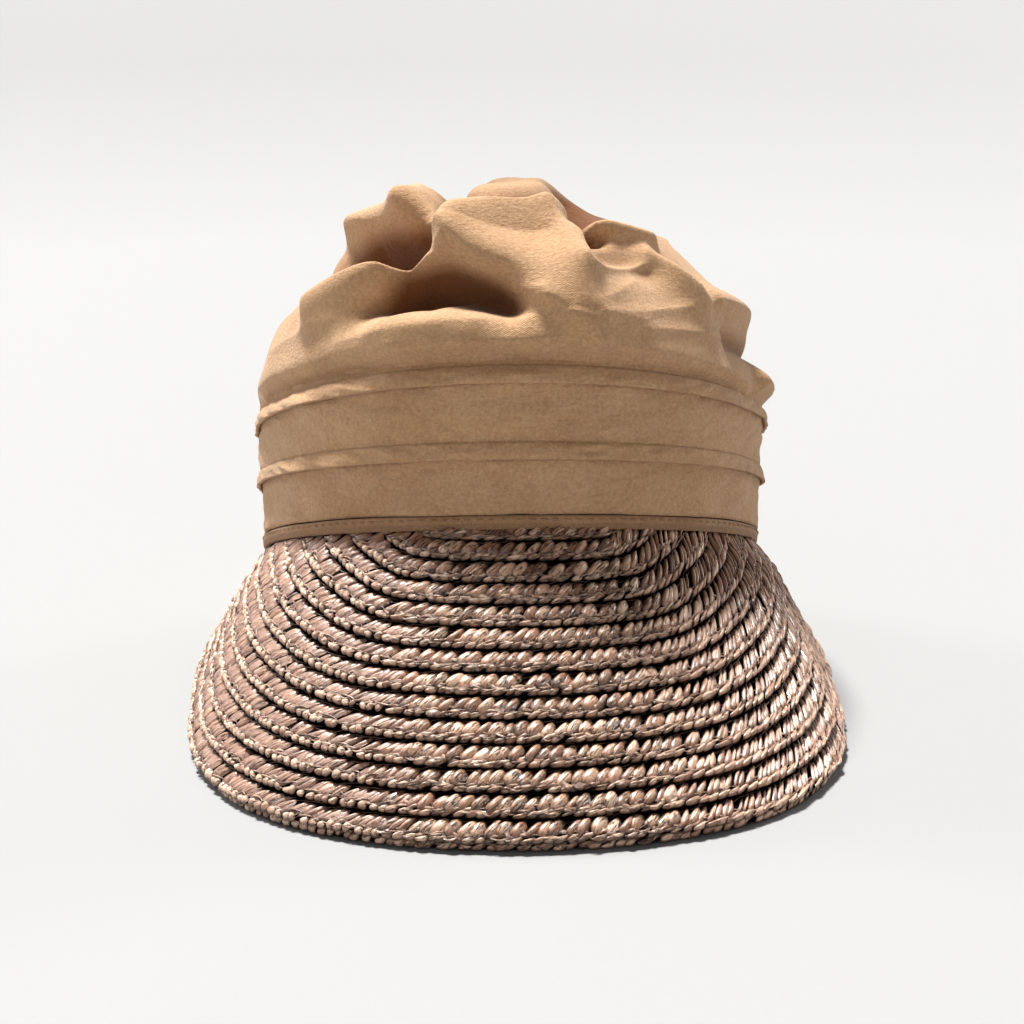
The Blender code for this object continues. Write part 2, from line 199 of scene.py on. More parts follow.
class Recipe:
    def __init__(self, name):
        self.material = bpy.data.materials.new(name)
        self.material.use_nodes = True
        self.tree = self.material.node_tree
        self.shader = self.tree.nodes["Principled BSDF"]

    def node(self, kind, sockets=None, settings=None, output=0):
        made = self.tree.nodes.new(kind)
        for key, value in (settings or {}).items():
            setattr(made, key, value)
        for key, value in (sockets or {}).items():
            plug(self.tree, made.inputs[key], value)
        return Wire(self.tree, made.outputs[output])

    def place(self):
        return self.node("ShaderNodeTexCoord", output="Object")

    def pair(self):
        return self.node("ShaderNodeTexCoord", output="UV")

    def number(self, name):
        return self.node("ShaderNodeAttribute", settings={"attribute_name": name}, output="Fac")

    def stretched(self, vector, scale):
        return self.node("ShaderNodeMapping", {"Vector": vector, "Scale": scale})

    def noise(self, vector, scale, detail=3.0, roughness=0.5):
        sockets = {"Vector": vector, "Scale": scale, "Detail": detail, "Roughness": roughness}
        return self.node("ShaderNodeTexNoise", sockets)

    def mix(self, factor, first, second):
        made = self.tree.nodes.new("ShaderNodeMix")
        made.data_type = "RGBA"
        plug(self.tree, made.inputs[0], factor)
        plug(self.tree, made.inputs[6], first)
        plug(self.tree, made.inputs[7], second)
        return Wire(self.tree, made.outputs[2])

    def bands(self, factor, low, high):
        sockets = {"Value": factor, "From Min": low, "From Max": high}
        return self.node("ShaderNodeMapRange", sockets)

    def bump(self, height, distance, strength=1.0):
        sockets = {"Height": height, "Distance": distance, "Strength": strength}
        return self.node("ShaderNodeBump", sockets)

    def set(self, **sockets):
        for key, value in sockets.items():
            plug(self.tree, self.shader.inputs[key.replace("_", " ")], value)


# ---- materials
clothLook = {
    "lit": (0.590, 0.395, 0.240, 1.0),
    "shade": (0.390, 0.225, 0.120, 1.0),
    # painted shade colour, laid into the folds of the crown
    "deep": (0.160, 0.060, 0.018, 1.0),
    "threadsPerMetre": 2200.0,
    "reliefDepth": 0.00026,
    "bindingLit": (0.44, 0.28, 0.165, 1.0),
    "bindingShade": (0.31, 0.175, 0.098, 1.0),
    "threadLit": (0.40, 0.26, 0.15, 1.0),
    "threadShade": (0.28, 0.16, 0.09, 1.0),
}


def makeCloth(name, lit, shade):
    # plain weave as the product of two sine waves, slubs, mottling and flecks from noise; a fold
    # attribute paints shade into the folds, darkening the colour there
    recipe = Recipe(name)
    place = recipe.place()
    pair = recipe.pair()
    paintedFoldShade = recipe.number("paintedFoldShade")
    across = recipe.node("ShaderNodeSeparateXYZ", {"Vector": pair}, output="X")
    up = recipe.node("ShaderNodeSeparateXYZ", {"Vector": pair}, output="Y")
    density = clothLook["threadsPerMetre"] * math.pi
    weft = (across * density).sine()
    warp = (up * density).sine()
    weave = weft * warp
    slubs = recipe.noise(recipe.stretched(place, (1.0, 1.0, 4.0)), 420.0, 4.0, 0.65)
    mottle = recipe.noise(place, 60.0, 5.0, 0.6)
    broad = recipe.noise(place, 14.0, 2.0, 0.5)
    flecks = recipe.noise(place, 950.0, 2.0, 0.6)
    tone = (recipe.bands(mottle, 0.30, 0.70) * 0.35 + recipe.bands(flecks, 0.30, 0.70) * 0.55
            + broad * 0.30 + slubs * 0.35 - 0.28).limited()
    colour = recipe.mix(tone, shade, lit)
    # painted shade: darker towards a near-black brown where the fold attribute is high
    colour = recipe.mix((paintedFoldShade * 0.92).limited(), colour, clothLook["deep"])
    recipe.set(Base_Color=colour, Roughness=0.82, Specular_IOR_Level=0.25, Sheen_Weight=0.18)
    recipe.set(Sheen_Roughness=0.45)
    height = weave * 0.18 + slubs * 1.2 + mottle * 1.4 + flecks * 1.3
    recipe.set(Normal=recipe.bump(height, clothLook["reliefDepth"]))
    return recipe.material


strawLook = {
    "pale": (0.800, 0.585, 0.420, 1.0),
    "middle": (0.365, 0.188, 0.102, 1.0),
    "dark": (0.075, 0.028, 0.013, 1.0),
    # dark colour for real splits and for painted shade along the lobes' edges
    "crackAndShade": (0.020, 0.008, 0.005, 1.0),
    # near-black painted shadow for the strip under the lobes
    "shadowCore": (0.007, 0.004, 0.003, 1.0),
    "pink": (0.55, 0.30, 0.235, 1.0),
    "fibres": 5.0,
    "reliefDepth": 0.00036,
}


def makeStraw():
    # depth is a sum of the lobe's own tone, its fibres, its blotches, a painted highlight growing along it
    # and painted shade towards its edges; it runs from dark over middle to pale, splits show as cracks, and
    # the lobes' edges are painted in the crack colour as shade between them
    recipe = Recipe("plaitedStraw")
    pair = recipe.pair()
    tone = recipe.number("tone")
    worn = recipe.number("worn")
    # painted shade: darker towards each lobe's edges, paler in its middle
    paintedLobeShade = recipe.number("paintedLobeShade")
    # painted highlight: lobes get paler towards their upper end
    rise = recipe.number("rise")
    fibre = recipe.noise(recipe.stretched(pair, (0.8, strawLook["fibres"], 1.0)), 1.0, 5.0, 0.65)
    streak = recipe.noise(recipe.stretched(pair, (0.5, 2.2, 1.0)), 1.0, 2.0, 0.5)
    blotch = recipe.noise(recipe.place(), 520.0, 4.0, 0.7)
    grain = recipe.bands(fibre, 0.32, 0.68)
    spots = recipe.bands(blotch, 0.30, 0.70)
    depth = (tone * 0.70 + grain * 0.42 + spots * 0.30 + rise * 0.45 + paintedLobeShade * 0.35 - 0.66).limited()
    lower = recipe.mix((depth * 2.0).limited(), strawLook["dark"], strawLook["middle"])
    colour = recipe.mix((depth * 2.0 - 1.0).limited(), lower, strawLook["pale"])
    pink = recipe.mix((streak * 0.35 * worn).limited(), colour, strawLook["pink"])
    split = recipe.bands(fibre + worn * 0.09, 0.44, 0.50).limited()
    # painted shade: the edges of each lobe take the crack colour, as the shade between lobes
    paintedEdgeShadeMask = recipe.bands(paintedLobeShade, 0.05, 0.60).limited()
    crackAndEdgeShadeMask = (split * paintedEdgeShadeMask).limited()
    recipe.set(Base_Color=recipe.mix(crackAndEdgeShadeMask, strawLook["crackAndShade"], pink))
    recipe.set(Roughness=(0.22 + fibre * 0.30).limited(), Specular_IOR_Level=1.0)
    recipe.set(Coat_Weight=0.48, Coat_Roughness=0.22)
    recipe.set(Normal=recipe.bump(fibre * 0.7 + streak + blotch * 0.5 + split * 0.6, strawLook["reliefDepth"]))
    return recipe.material


def makeShadowCore():
    # painted shadow: a near-black colour for the strip under the lobes, seen in the gaps between them and
    # between rows
    recipe = Recipe("strawShadowCore")
    place = recipe.place()
    grain = recipe.noise(place, 900.0, 4.0, 0.6)
    colour = recipe.mix((grain - 0.45).limited(), strawLook["shadowCore"], strawLook["crackAndShade"])
    recipe.set(Base_Color=colour, Roughness=0.9, Specular_IOR_Level=0.1)
    recipe.set(Normal=recipe.bump(grain, 0.0003, 0.8))
    return recipe.material


floorLook = {"low": (0.310, 0.316, 0.322, 1.0), "high": (0.322, 0.328, 0.334, 1.0)}


def makeFloor():
    recipe = Recipe("floorPaper")
    grain = recipe.noise(recipe.place(), 900.0, 3.0, 0.6)
    colour = recipe.mix(grain, floorLook["low"], floorLook["high"])
    recipe.set(Base_Color=colour, Roughness=0.75, Normal=recipe.bump(grain, 0.00002, 0.3))
    return recipe.material


clothMaterial = makeCloth("capCloth", clothLook["lit"], clothLook["shade"])
bindingMaterial = makeCloth("bindingCloth", clothLook["bindingLit"], clothLook["bindingShade"])
threadMaterial = makeCloth("sewingThread", clothLook["threadLit"], clothLook["threadShade"])
strawMaterial = makeStraw()
shadowCoreMaterial = makeShadowCore()
print("materials made")


# ---- forms shared by the pieces
def outwardAt(angle):
    # level direction at an angle from the front, turning towards +X
    return np.stack([np.sin(angle), -np.cos(angle), 0 * angle], axis=-1)


def roundHeight(angle, front, side, back):
    # front, side and back rises joined by cosines
    cosine = np.cos(angle)
    return side * (1 - cosine**2) + cosine**2 * (front + back) / 2 + cosine * (front - back) / 2


def hemPlace(angle):
    # an oval of the head's width and length at the hem's height
    x = headWidth / 2 * np.sin(angle)
    y = hemMiddleY - headLength / 2 * np.cos(angle)
    return np.stack([x, y, roundHeight(angle, hemRise["front"], hemRise["side"], hemRise["back"])], axis=-1)


# Rings of the crown from hem to top: heights as shares of the way from hem to top, widths and
# reaches as shares of half the head
crownRings = [
    # at, front rise, side rise, back rise, half width, front reach, back reach
    (0.00, 0.000, 0.000, 0.000, 1.000, 0.995, 0.995),
    (0.10, 0.205, 0.150, 0.135, 1.004, 0.990, 1.025),
    (0.21, 0.445, 0.300, 0.255, 1.006, 0.975, 1.050),
    (0.29, 0.575, 0.410, 0.370, 0.990, 0.940, 1.065),
    (0.40, 0.700, 0.550, 0.490, 0.930, 0.870, 1.020),
    (0.52, 0.815, 0.690, 0.630, 0.770, 0.770, 0.880),
    (0.65, 0.905, 0.830, 0.760, 0.560, 0.640, 0.660),
    (0.78, 0.965, 0.920, 0.870, 0.360, 0.480, 0.430),
    (0.90, 0.995, 0.975, 0.950, 0.190, 0.300, 0.160),
    (1.00, 1.000, 0.998, 0.995, 0.020, 0.105, -0.060),
]

# Folds of the crown: each runs from one place to another, a ridge, or a hollow where its height is
# negative; its two widths, left and right of its way seen from outside, and its height are shares
# of the head's width
folds = [
    # from angle, from share, to angle, to share, left width, right width, height
    (-20.0, 0.555, 9.0, 0.325, 0.08, 0.02, 0.034),
    (-28.0, 0.455, -2.0, 0.365, 0.04, 0.04, -0.066),
    (-33.0, 0.375, -20.0, 0.375, 0.028, 0.028, -0.03),
    (-50.0, 0.4, -24.0, 0.5, 0.022, 0.05, 0.042),
    (-54.0, 0.55, -34.0, 0.58, 0.046, 0.038, -0.1),
    (-74.0, 0.62, -44.0, 0.64, 0.06, 0.02, 0.05),
    (-44.0, 0.64, -21.0, 0.56, 0.07, 0.018, 0.032),
    (-18.0, 0.64, 8.0, 0.67, 0.07, 0.05, 0.01),
    (13.0, 0.64, 12.5, 0.4, 0.09, 0.03, 0.024),
    (20.0, 0.48, 34.0, 0.49, 0.04, 0.04, -0.036),
    (20.0, 0.56, 25.0, 0.575, 0.018, 0.018, -0.05),
    (20.0, 0.61, 60.0, 0.86, 0.036, 0.022, -0.046),
    (27.0, 0.61, 42.0, 0.56, 0.04, 0.018, 0.034),
    (-21.0, 0.69, -70.0, 0.9, 0.032, 0.032, -0.066),
    (-70.0, 0.9, -140.0, 0.8, 0.036, 0.036, -0.05),
    (-44.0, 0.76, -110.0, 0.78, 0.055, 0.05, 0.032),
    (-6.0, 0.82, 80.0, 0.96, 0.06, 0.06, 0.022),
    (38.0, 0.52, 46.0, 0.4, 0.018, 0.04, 0.022),
    (52.0, 0.405, 92.0, 0.42, 0.04, 0.022, 0.03),
    (54.0, 0.325, 98.0, 0.335, 0.024, 0.024, -0.026),
    (70.0, 0.262, 100.0, 0.27, 0.03, 0.02, 0.034),
    (35.0, 0.72, 110.0, 0.86, 0.16, 0.11, -0.04),
    (-30.0, 0.32, 14.0, 0.31, 0.03, 0.03, 0.01),
    (-80.0, 0.275, 16.0, 0.268, 0.04, 0.03, 0.006),
    (-60.0, 0.238, 10.0, 0.244, 0.022, 0.02, -0.006),
    (-78.0, 0.49, -105.0, 0.54, 0.04, 0.05, -0.044),
    (-150.0, 0.42, -120.0, 0.58, 0.05, 0.05, -0.03),
    (120.0, 0.4, 155.0, 0.56, 0.05, 0.05, -0.03),
    (175.0, 0.48, -170.0, 0.7, 0.05, 0.05, 0.022),
]

# Sharper edges of the same folds, drawn the same way but with a bell that comes to a crest
crests = [
    # from angle, from share, to angle, to share, left width, right width, height
    (-19.0, 0.515, 4.0, 0.37, 0.05, 0.014, 0.018),
    (-19.0, 0.505, -33.0, 0.465, 0.045, 0.014, 0.026),
    (-33.0, 0.465, -60.0, 0.455, 0.05, 0.014, 0.012),
    (-44.0, 0.632, -19.0, 0.512, 0.05, 0.012, 0.014),
    (-72.0, 0.625, -44.0, 0.635, 0.04, 0.014, 0.005),
    (-62.0, 0.53, -32.0, 0.565, 0.05, 0.04, -0.09),
    (-58.0, 0.6, -40.0, 0.605, 0.024, 0.02, -0.04),
    (-21.0, 0.475, -28.0, 0.395, 0.03, 0.03, -0.034),
    (-17.0, 0.475, -4.0, 0.425, 0.02, 0.03, -0.03),
    (-28.0, 0.325, -12.0, 0.398, 0.012, 0.05, 0.014),
    (-12.0, 0.398, 5.0, 0.35, 0.012, 0.05, 0.012),
    (-28.0, 0.42, -4.0, 0.4, 0.04, 0.03, -0.022),
    (-38.0, 0.63, 10.0, 0.67, 0.02, 0.05, 0.03),
    (-24.0, 0.57, 8.0, 0.57, 0.04, 0.04, -0.014),
    (-34.0, 0.72, 12.0, 0.75, 0.04, 0.03, -0.036),
    (16.0, 0.43, 34.0, 0.486, 0.05, 0.016, 0.026),
    (18.0, 0.643, 14.0, 0.45, 0.016, 0.05, 0.026),
    (36.0, 0.51, 44.0, 0.42, 0.016, 0.04, 0.014),
    (-78.0, 0.268, -25.0, 0.26, 0.05, 0.014, 0.006),
    (-25.0, 0.26, 15.0, 0.264, 0.05, 0.014, 0.02),
    (15.0, 0.264, 60.0, 0.246, 0.04, 0.014, 0.018),
    (-70.0, 0.238, 60.0, 0.234, 0.014, 0.014, -0.014),
    (-39.0, 0.296, -8.0, 0.31, 0.018, 0.014, 0.005),
    (-8.0, 0.31, 26.0, 0.322, 0.018, 0.014, 0.005),
    (15.0, 0.34, 27.0, 0.43, 0.012, 0.022, 0.006),
    (16.0, 0.32, 40.0, 0.375, 0.012, 0.022, 0.006),
    (22.0, 0.3, 52.0, 0.33, 0.014, 0.02, 0.005),
    (-70.0, 0.33, -42.0, 0.35, 0.014, 0.02, 0.005),
    (6.0, 0.325, 14.0, 0.318, 0.03, 0.03, -0.02),
    (92.0, 0.422, 122.0, 0.48, 0.05, 0.03, 0.017),
    (98.0, 0.337, 124.0, 0.37, 0.03, 0.03, -0.013),
    (100.0, 0.272, 130.0, 0.31, 0.036, 0.026, 0.018),
    (-105.0, 0.54, -128.0, 0.64, 0.04, 0.04, -0.024),
    (-92.0, 0.44, -124.0, 0.48, 0.03, 0.05, 0.014),
    (-160.0, 0.36, -128.0, 0.48, 0.05, 0.024, 0.012),
    (-162.0, 0.5, -128.0, 0.66, 0.026, 0.05, 0.012),
    (112.0, 0.48, 150.0, 0.64, 0.026, 0.05, 0.014),
    (128.0, 0.33, 168.0, 0.52, 0.05, 0.026, 0.012),
    (150.0, 0.56, 172.0, 0.78, 0.04, 0.04, -0.018),
    (-172.0, 0.7, -176.0, 0.92, 0.04, 0.04, 0.016),
    (160.0, 0.28, -140.0, 0.3, 0.024, 0.016, 0.005),
    (90.0, 0.62, 150.0, 0.78, 0.04, 0.026, 0.014),
]

tucks = [
    # lower edge, top
    (0.088, 0.112),
    (0.196, 0.224),
]


def crownBase(angle, share):
    # an oval at each share of the way up, its widths, reaches and rises drawn from crownRings
    table = np.array(crownRings)
    columns = [smoothThrough(table[:, 0], table[:, i], share) for i in range(1, 7)]
    frontRise, sideRise, backRise, halfWidth, frontReach, backReach = columns
    front = hemRise["front"] + frontRise * (crownHeight - hemRise["front"])
    side = hemRise["side"] + sideRise * (crownHeight - hemRise["side"])
    back = hemRise["back"] + backRise * (crownHeight - hemRise["back"])
    x = halfWidth * headWidth / 2 * np.sin(angle)
    y = hemMiddleY + (backReach - frontReach) / 2 * headLength / 2
    y = y - (backReach + frontReach) / 2 * headLength / 2 * np.cos(angle)
    z = roundHeight(angle, front, side, back)
    lift = wall["bindingHeight"] + clearance
    return np.stack([x, y, z + lift * (1.0 - share)], axis=-1)


def gridNormals(points):
    # cross product of the travel round the grid, which is closed, and the travel up it
    roundStep = np.roll(points, -1, axis=0) - np.roll(points, 1, axis=0)
    upStep = np.gradient(points, axis=1)
    return unitVectors(np.cross(roundStep, upStep))


foldLook = {"bell": 1.8, "crest": 1.1, "crestRound": 0.0004, "stepsAlong": 9}


def foldHeight(points, normals, table, power):
    # each fold is a bell exp(-(distance / width)^power) across its line, with its own width on
    # each side; the root of distance squared plus crestRound squared rounds the top of a crest
    height = np.zeros(points.shape[:-1])
    for fromAngle, fromShare, toAngle, toShare, leftWidth, rightWidth, fold in table:
        turn = (toAngle - fromAngle + 180.0) % 360.0 - 180.0
        steps = np.linspace(0.0, 1.0, foldLook["stepsAlong"])
        run = crownBase(np.radians(fromAngle + turn * steps), fromShare + (toShare - fromShare) * steps)
        gap, way = nearestOnRun(points, run)
        away = np.sqrt((gap**2).sum(axis=-1) + foldLook["crestRound"]**2)
        leftward = (np.cross(normals, way) * gap).sum(axis=-1) / away
        width = (leftWidth * (1 + leftward) + rightWidth * (1 - leftward)) / 2 * headWidth
        height += fold * headWidth * np.exp(-(away / width)**power)
    return height


# ---- crown
crownLook = {
    "stepsRound": 380,
    "stepsUp": [(0.998, 0.72, 27), (0.72, 0.22, 134), (0.22, 0.0, 34)],
    "frontPull": 0.42,
    "tuckReach": 0.0018,
    "wrinkle": 0.0007,
    "bandWrinkle": 0.0015,
    "bandStretch": 4.6,
    # fold depth at which the painted shade is full
    "paintedShadeDepth": 0.006,
    "topShare": 0.998,
    "calmShares": (0.930, 0.985),
    "stepsInside": 28,
    "normalSteps": 120,
}

# Tucks as shares of the way up, reaches in metres
tuckLook = {
    "roomAbove": 0.004,
    "roomBelow": 0.003,
    "lipAt": 0.0025,
    "lipIn": 0.0008,
    "lipDepth": 0.00025,
    "steps": 12,
    "hang": 0.0008,
    "underIn": 0.0065,
    "underBack": 0.0060,
    "underOut": 0.0022,
}


def crownPath():
    # way along the cloth from the top outside down to the hem, under it and up the inside:
    # share of the height, lift over the plain crown, and how far in it lies, 0 outside, 1 inside
    reach, look = crownLook["tuckReach"], tuckLook
    spans = [np.linspace(high, low, count, endpoint=False) for high, low, count in crownLook["stepsUp"]]
    plain = np.append(np.concatenate(spans), 0.0)
    path = []
    marks = sorted(((low, top) for low, top in tucks), reverse=True)
    for low, top in marks:
        span = top - low
        path += [(share, 0.0, 0.0) for share in plain if share > top + look["roomAbove"]]
        plain = np.array([share for share in plain if share < low - look["roomBelow"]])
        path.append((top + look["lipAt"], 0.0, 0.0))
        path.append((top + look["lipIn"], -look["lipDepth"], 0.0))
        for t in np.linspace(0.0, 1.0, look["steps"]):
            lift = reach * (0.25 + 0.75 * math.sin(t * math.pi / 2) ** 0.8)
            path.append((top - span * t, lift, 0.0))
        path.append((low - look["hang"], reach * 0.80, 0.0))
        path.append((low - look["hang"], reach * 0.45, 0.0))
        path.append((low + look["underIn"], reach * 0.22, 0.0))
        path.append((low + look["underBack"], 0.0, 0.0))
        path.append((low - look["underOut"], 0.0, 0.0))
    path += [(share, 0.0, 0.0) for share in plain]
    path.append((0.0, -0.0003, 0.35))
    inside = np.linspace(0.0, crownLook["topShare"], crownLook["stepsInside"])
    path += [(share, 0.0, 1.0) for share in inside]
    return np.array(path)


def makeCrown():
    # the plain crown moved along its own directions by folds, crests, small wrinkles and tucks
    even = np.linspace(-math.pi, math.pi, crownLook["stepsRound"], endpoint=False)
    angles = even - crownLook["frontPull"] * np.sin(even)
    path = crownPath()
    base = crownBase(*np.meshgrid(angles, path[:, 0], indexing="ij"))
    shares = np.linspace(0.0, crownLook["calmShares"][1], crownLook["normalSteps"])
    normals = gridNormals(crownBase(*np.meshgrid(angles, shares, indexing="ij")))
    at = np.clip(np.searchsorted(shares, path[:, 0]) - 1, 0, len(shares) - 2)
    t = np.clip((path[:, 0] - shares[at]) / (shares[1] - shares[0]), 0.0, 1.0)[None, :, None]
    normal = unitVectors(normals[:, at] * (1 - t) + normals[:, at + 1] * t)
    # close to the pole every direction and height goes over into the mean of its first ring
    calm = softStep(*crownLook["calmShares"], path[:, 0])[None, :]
    normal = unitVectors(normal * (1 - calm[..., None]) + normal[:, 0].mean(axis=0) * calm[..., None])
    stretch = np.array([1.0, 1.0, crownLook["bandStretch"]])
    creases = softNoise(base * stretch, 0.024, 3) * 0.6 + softNoise(base * stretch, 0.007, 4) * 0.4
    tumble = softNoise(base, 0.022, 5) * 0.7 + softNoise(base, 0.010, 6) * 0.3
    band = 1.0 - softStep(0.20, 0.30, path[:, 0])[None, :]
    rough = creases * crownLook["bandWrinkle"] * band + tumble * crownLook["wrinkle"] * (1 - band)
    folded = foldHeight(base, normal, folds, foldLook["bell"])
    folded = folded + foldHeight(base, normal, crests, foldLook["crest"])
    folded = folded * (1 - calm) + folded[:, 0].mean() * calm
    height = folded + rough * (1 - calm)
    # painted shade: the deeper a fold sinks, the darker its colour
    paintedFoldShade = np.clip(-folded / crownLook["paintedShadeDepth"], 0.0, 1.0)
    paintedFoldShade = np.concatenate([paintedFoldShade.ravel(), [paintedFoldShade[:, 0].mean(), paintedFoldShade[:, -1].mean()]])
    lift = path[None, :, 1] - path[None, :, 2] * wall["cloth"]
    points = base + normal * (height + lift)[..., None]
    points[..., 2] = np.maximum(points[..., 2], 0.0002)
    count = len(path)
    vertices = points.reshape(-1, 3)
    top = vertices.reshape(points.shape)[:, 0].mean(axis=0)
    under = vertices.reshape(points.shape)[:, -1].mean(axis=0)
    vertices = np.concatenate([vertices, [top, under]])
    rows = len(angles)
    faces = gridFaces(rows, count, closedA=True)[:, ::-1]
    extra = []
    for i in range(rows):
        j = (i + 1) % rows
        extra.append((j * count, rows * count, i * count))
        extra.append((i * count + count - 1, rows * count + 1, j * count + count - 1))
    alongRound = np.cumsum(np.linalg.norm(hemPlace(angles) - np.roll(hemPlace(angles), 1, axis=0), axis=1))
    steps = np.linalg.norm(np.diff(base[0], axis=0), axis=1)
    alongUp = np.concatenate([[0.0], np.cumsum(steps)])
    uv = np.stack(np.meshgrid(alongRound, alongUp, indexing="ij"), axis=-1).reshape(-1, 2)
    uv = np.concatenate([uv, [[0.0, 0.0], [0.0, 0.0]]])
    crown = addMesh("crownCloth", vertices, faces, clothMaterial, floats={"paintedFoldShade": paintedFoldShade},
                    uv=uv, extra=extra, around=alongRound[-1])
    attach(crown, "root")
    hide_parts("crown")


makeCrown()
print("crown made")


# ---- binding at the hem
bindingLook = {
    "stepsRound": 720,
    "stepsSection": 14,
    "corner": 0.55,
    "pucker": 0.00018,
    "puckerCell": 0.006,
    "stitchLength": 0.0024,
    "stitchGap": 0.0011,
    "stitchRadius": 0.00022,
    "stitchRise": 0.00022,
    "stitchSink": 0.00012,
    "stitchDrop": 0.0009,
}


def makeBinding():
    # a rounded oblong section, sine and cosine raised to the power corner, drawn along the hem
    angles = np.linspace(-math.pi, math.pi, bindingLook["stepsRound"], endpoint=False)
    turn = np.linspace(0.0, 2 * math.pi, bindingLook["stepsSection"], endpoint=False)
    hem = hemPlace(angles)
    outward = outwardAt(angles)
    middle = hem - outward * (wall["cloth"] / 2)
    height = wall["bindingHeight"] + wall["bindingDrop"]
    middle[:, 2] += height / 2 - wall["bindingDrop"]
    power = bindingLook["corner"]
    side = np.sign(np.cos(turn)) * np.abs(np.cos(turn))**power * wall["binding"] / 2
    rise = np.sign(np.sin(turn)) * np.abs(np.sin(turn))**power * height / 2
    around = softNoise(hem, bindingLook["puckerCell"], 8) * bindingLook["pucker"]
    points = middle[:, None] + outward[:, None] * (side[None, :] + around[:, None])[..., None]
    points[..., 2] += rise[None, :]
    points[..., 2] = np.maximum(points[..., 2], 0.0)
    length = np.cumsum(np.linalg.norm(hem - np.roll(hem, 1, axis=0), axis=1))
    uv = np.stack(np.meshgrid(length, turn * 0.0012, indexing="ij"), axis=-1)
    faces = gridFaces(len(angles), len(turn), closedA=True, closedB=True)
    binding = addMesh("bindingStrip", points, faces, bindingMaterial, uv=uv, around=length[-1])
    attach(binding, "root")
    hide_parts("edge_binding")


def makeStitches(name, centres, alongs, outs):
    # short bent capsules: a bow of nine rings that dips into the cloth at both ends
    ringCount, sideCount = 9, 6
    t = np.linspace(-1.0, 1.0, ringCount)
    turn = np.linspace(0.0, 2 * math.pi, sideCount, endpoint=False)
    half = bindingLook["stitchLength"] / 2
    radius = bindingLook["stitchRadius"] * np.sqrt(np.maximum(1 - t**4, 0.02))
    third = unitVectors(np.cross(alongs, outs))
    bow = (1 - t**2) * bindingLook["stitchRise"] - bindingLook["stitchSink"]
    line = centres[:, None] + alongs[:, None] * (t * half)[None, :, None] + outs[:, None] * bow[None, :, None]
    ring = outs[:, None, None] * np.cos(turn)[None, None, :, None]
    ring = ring + third[:, None, None] * np.sin(turn)[None, None, :, None]
    points = line[:, :, None] + ring * radius[None, :, None, None]
    faces = []
    for i in range(len(centres)):
        faces.append(gridFaces(ringCount, sideCount, closedB=True, offset=i * ringCount * sideCount))
    uv = np.zeros(points.shape[:-1] + (2,))
    uv[..., 0] = t[None, :, None] * half
    uv[..., 1] = turn[None, None, :] * radius.max()
    stitches = addMesh(name, points, np.concatenate(faces)[:, ::-1], threadMaterial, uv=uv)
    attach(stitches, "root")


def hemStitches():
    # stitches an even length apart round the hem, on the outside of the binding
    fine = np.linspace(0.0, 2 * math.pi, 4000, endpoint=False)
    hem = hemPlace(fine)
    length = np.cumsum(np.linalg.norm(np.roll(hem, -1, axis=0) - hem, axis=1))
    pitch = bindingLook["stitchLength"] + bindingLook["stitchGap"]
    count = int(length[-1] / pitch)
    angles = np.interp(np.arange(count) * pitch, length, fine)
    centres = hemPlace(angles)
    alongs = unitVectors(hemPlace(angles + 0.01) - hemPlace(angles - 0.01))
    outs = outwardAt(angles)
    half = (wall["binding"] - wall["cloth"]) / 2
    centres = centres + outs * half
    centres[:, 2] += wall["bindingHeight"] - bindingLook["stitchDrop"]
    makeStitches("hemStitches", centres, alongs, outs)


makeBinding()
hemStitches()
print("binding made")


# ---- brim
brimSizes = {
    "reach": 0.1605,
    "halfSpan": 0.0992,
    "endAngle": 118.0,
    "seat": 0.0022,
    "swell": 0.0016,
    "edgeRise": 0.0011,
    "rows": 14,
    "pitch": 0.0071,
    "overlap": 0.0018,
    "wall": 0.0014,
    "hemFade": 0.0080,
    "leastDepth": 0.0012,
    "fullRoom": 0.0068,
    "wideRoom": (0.0080, 0.0112),
    "wider": 0.22,
    "underWidth": 0.0066,
    "underDrop": 0.0011,
    "underReach": 0.0017,
    "leastHeight": 0.0002,
}

# Outer edge of the brim from the middle of the front to the hem, as shares of the end angle, half
# span, reach and hem rise
edgePlaces = [
    # share of the end angle, sideways, forward, rise
    (0.0000, 0.000, 1.000, 0.000),
    (0.1667, 0.385, 0.966, 0.000),
    (0.3333, 0.700, 0.862, 0.000),
    (0.5000, 0.905, 0.680, 0.000),
    (0.6667, 0.995, 0.415, 0.010),
    (0.8333, 0.985, 0.050, 0.130),
]


def edgePlace(angle):
    # smooth curves through edgePlaces, the same on both sides, ending at the hem
    endAngle = math.radians(brimSizes["endAngle"])
    end = hemPlace(endAngle) - outwardAt(endAngle) * brimSizes["seat"]
    table = np.array(edgePlaces)
    share = np.append(table[:, 0], 1.0)
    sideways = np.append(table[:, 1] * brimSizes["halfSpan"], end[0])
    forward = np.append(hemMiddleY - table[:, 2] * brimSizes["reach"], end[1])
    rise = np.append(table[:, 3] * hemRise["front"] + brimSizes["edgeRise"], end[2])
    both = np.concatenate([-share[:0:-1], share])
    at = angle / endAngle
    x = smoothThrough(both, np.concatenate([-sideways[:0:-1], sideways]), at)
    y = smoothThrough(both, np.concatenate([forward[:0:-1], forward]), at)
    z = smoothThrough(both, np.concatenate([rise[:0:-1], rise]), at)
    return np.stack([x, y, z], axis=-1)


